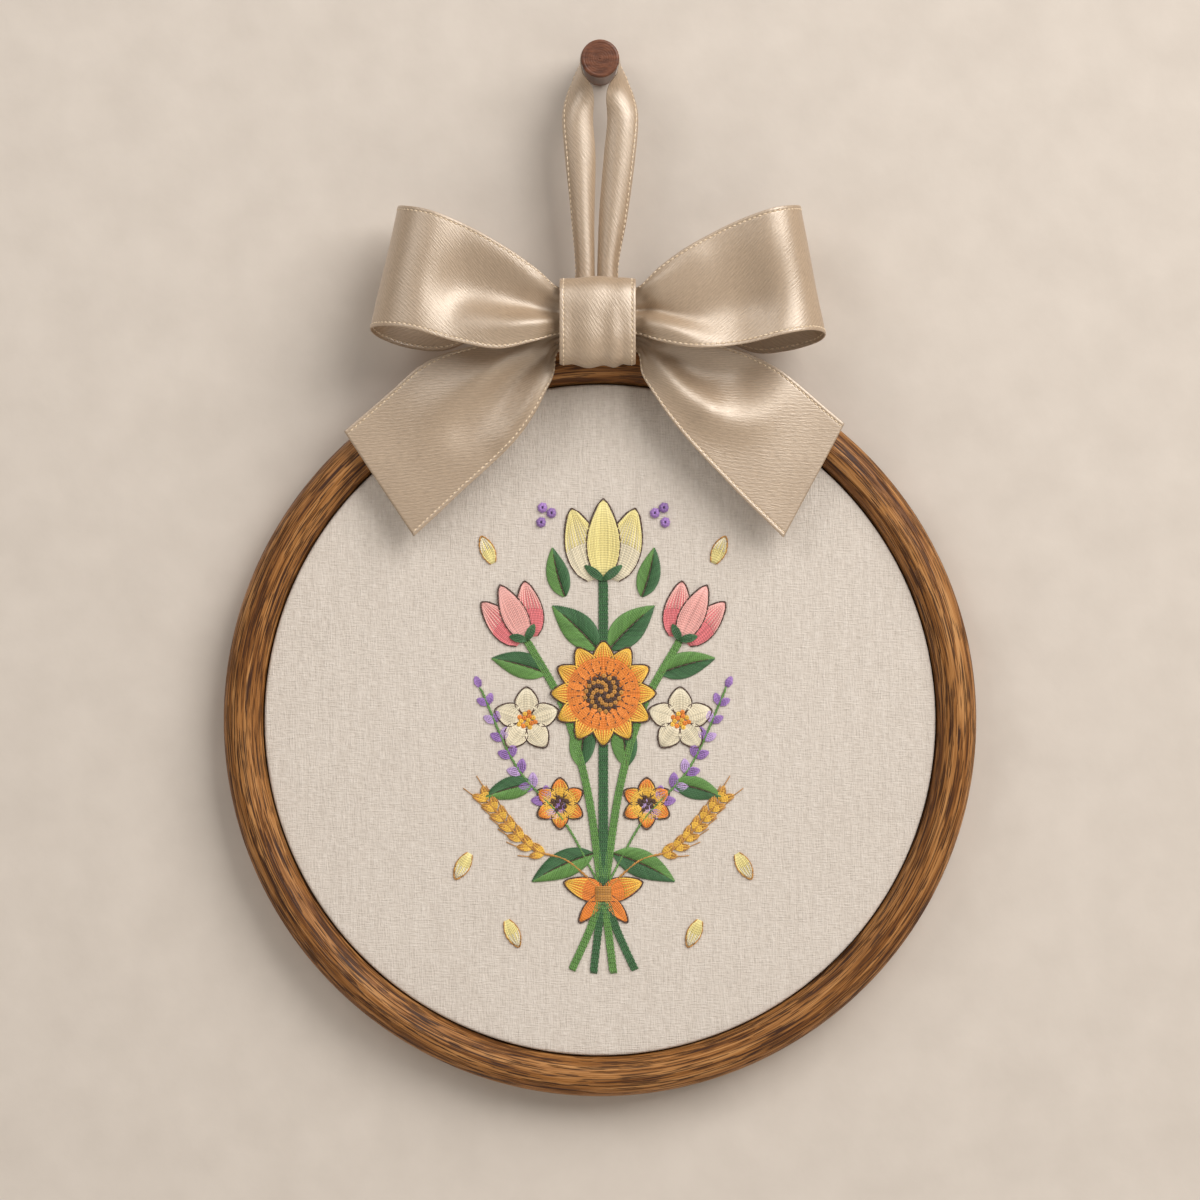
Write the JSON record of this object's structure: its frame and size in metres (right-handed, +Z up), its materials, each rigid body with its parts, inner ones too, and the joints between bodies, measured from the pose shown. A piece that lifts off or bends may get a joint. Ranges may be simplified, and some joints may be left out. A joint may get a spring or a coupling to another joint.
{
  "type": "hoop embroidery art with a ribbon bow, on a wall peg",
  "caption": "Linen stretched in a round wooden hoop, with a satin ribbon bow at the top, hung by a ribbon loop from a wall peg.",
  "frame": {"origin": "centre of the wall peg's flat wall end", "axes": "+Z up, +Y into the wall, -Y towards the viewer, +X to the viewer's right"},
  "size_m": [0.226, 0.0394, 0.317],
  "materials": {
    "peg_wood": "dark stained dowel, satin",
    "stained_oak": "brown stained oak, satin, open grain",
    "plain_wood": "plain sanded beech",
    "linen": "natural greige linen, plain weave",
    "satin_ribbon": "champagne satin with stitched selvedges",
    "embroidery_thread": "stranded cotton in several colours, soft sheen"
  },
  "bodies": {
    "root": {"peg": "peg_wood", "hoop_outer": "stained_oak", "hoop_inner": "plain_wood", "linen_ground": "linen", "bow_loop_left": "satin_ribbon", "bow_loop_right": "satin_ribbon", "bow_tail_left": "satin_ribbon", "bow_tail_right": "satin_ribbon", "knot_wrap": "satin_ribbon", "hanging_ribbon": "satin_ribbon"}
  },
  "joints": []
}
